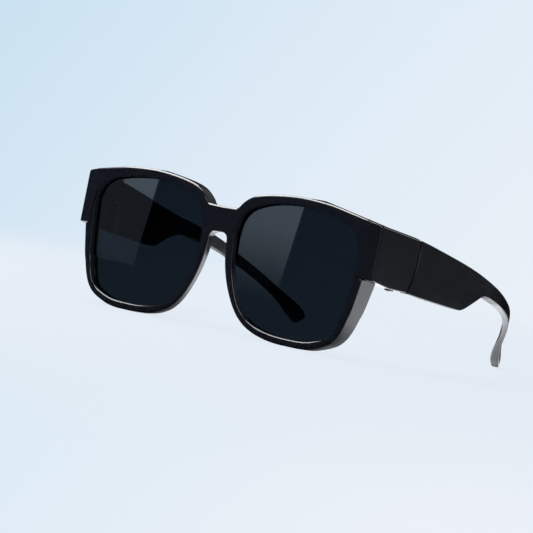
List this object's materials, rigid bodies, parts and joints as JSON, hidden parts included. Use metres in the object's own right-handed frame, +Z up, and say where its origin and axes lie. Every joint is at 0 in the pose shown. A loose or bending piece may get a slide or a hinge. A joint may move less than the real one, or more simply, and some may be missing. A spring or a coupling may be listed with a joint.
{
  "type": "fit-over glasses",
  "caption": "Black moulded frame with wide wrap corners, dark tinted lenses and side arms that fold inward on metal hinges and end in ear hooks.",
  "frame": {"origin": "centre of the bounding box in X and Y, on the table plane under the rims and the tips of the ear hooks", "axes": "+X towards the wearer's left, +Y from the lenses to the ear hooks, +Z up with the arms open"},
  "size_m": [0.1608, 0.134, 0.0572],
  "materials": {
    "black_plastic": "satin near-black moulded plastic, edges slightly rounded",
    "lens_tint": "dark neutral tint, polished both sides",
    "steel": "plain bright steel"
  },
  "bodies": {
    "front": {"front_frame": "black_plastic", "left_lens": "lens_tint", "left_front_hinge_leaf": "steel", "left_hinge_screw": "steel", "left_front_leaf_screw_lower": "steel", "left_front_leaf_screw_upper": "steel", "right_lens": "lens_tint", "right_front_hinge_leaf": "steel", "right_hinge_screw": "steel", "right_front_leaf_screw_lower": "steel", "right_front_leaf_screw_upper": "steel"},
    "left_arm": {"left_temple": "black_plastic", "left_temple_hinge_leaf": "steel", "left_temple_leaf_screw_lower": "steel", "left_temple_leaf_screw_upper": "steel"},
    "right_arm": {"right_temple": "black_plastic", "right_temple_hinge_leaf": "steel", "right_temple_leaf_screw_lower": "steel", "right_temple_leaf_screw_upper": "steel"}
  },
  "joints": [
    {"name": "left_arm_fold", "type": "hinge", "parent": "front", "child": "left_arm", "pos_m": [0.07021, -0.04585, 0.03453], "axis": [0, 0.0405, 0.9992], "range_deg": [0, 84]},
    {"name": "right_arm_fold", "type": "hinge", "parent": "front", "child": "right_arm", "pos_m": [-0.07021, -0.04585, 0.03453], "axis": [0, -0.0405, -0.9992], "range_deg": [0, 74]}
  ]
}
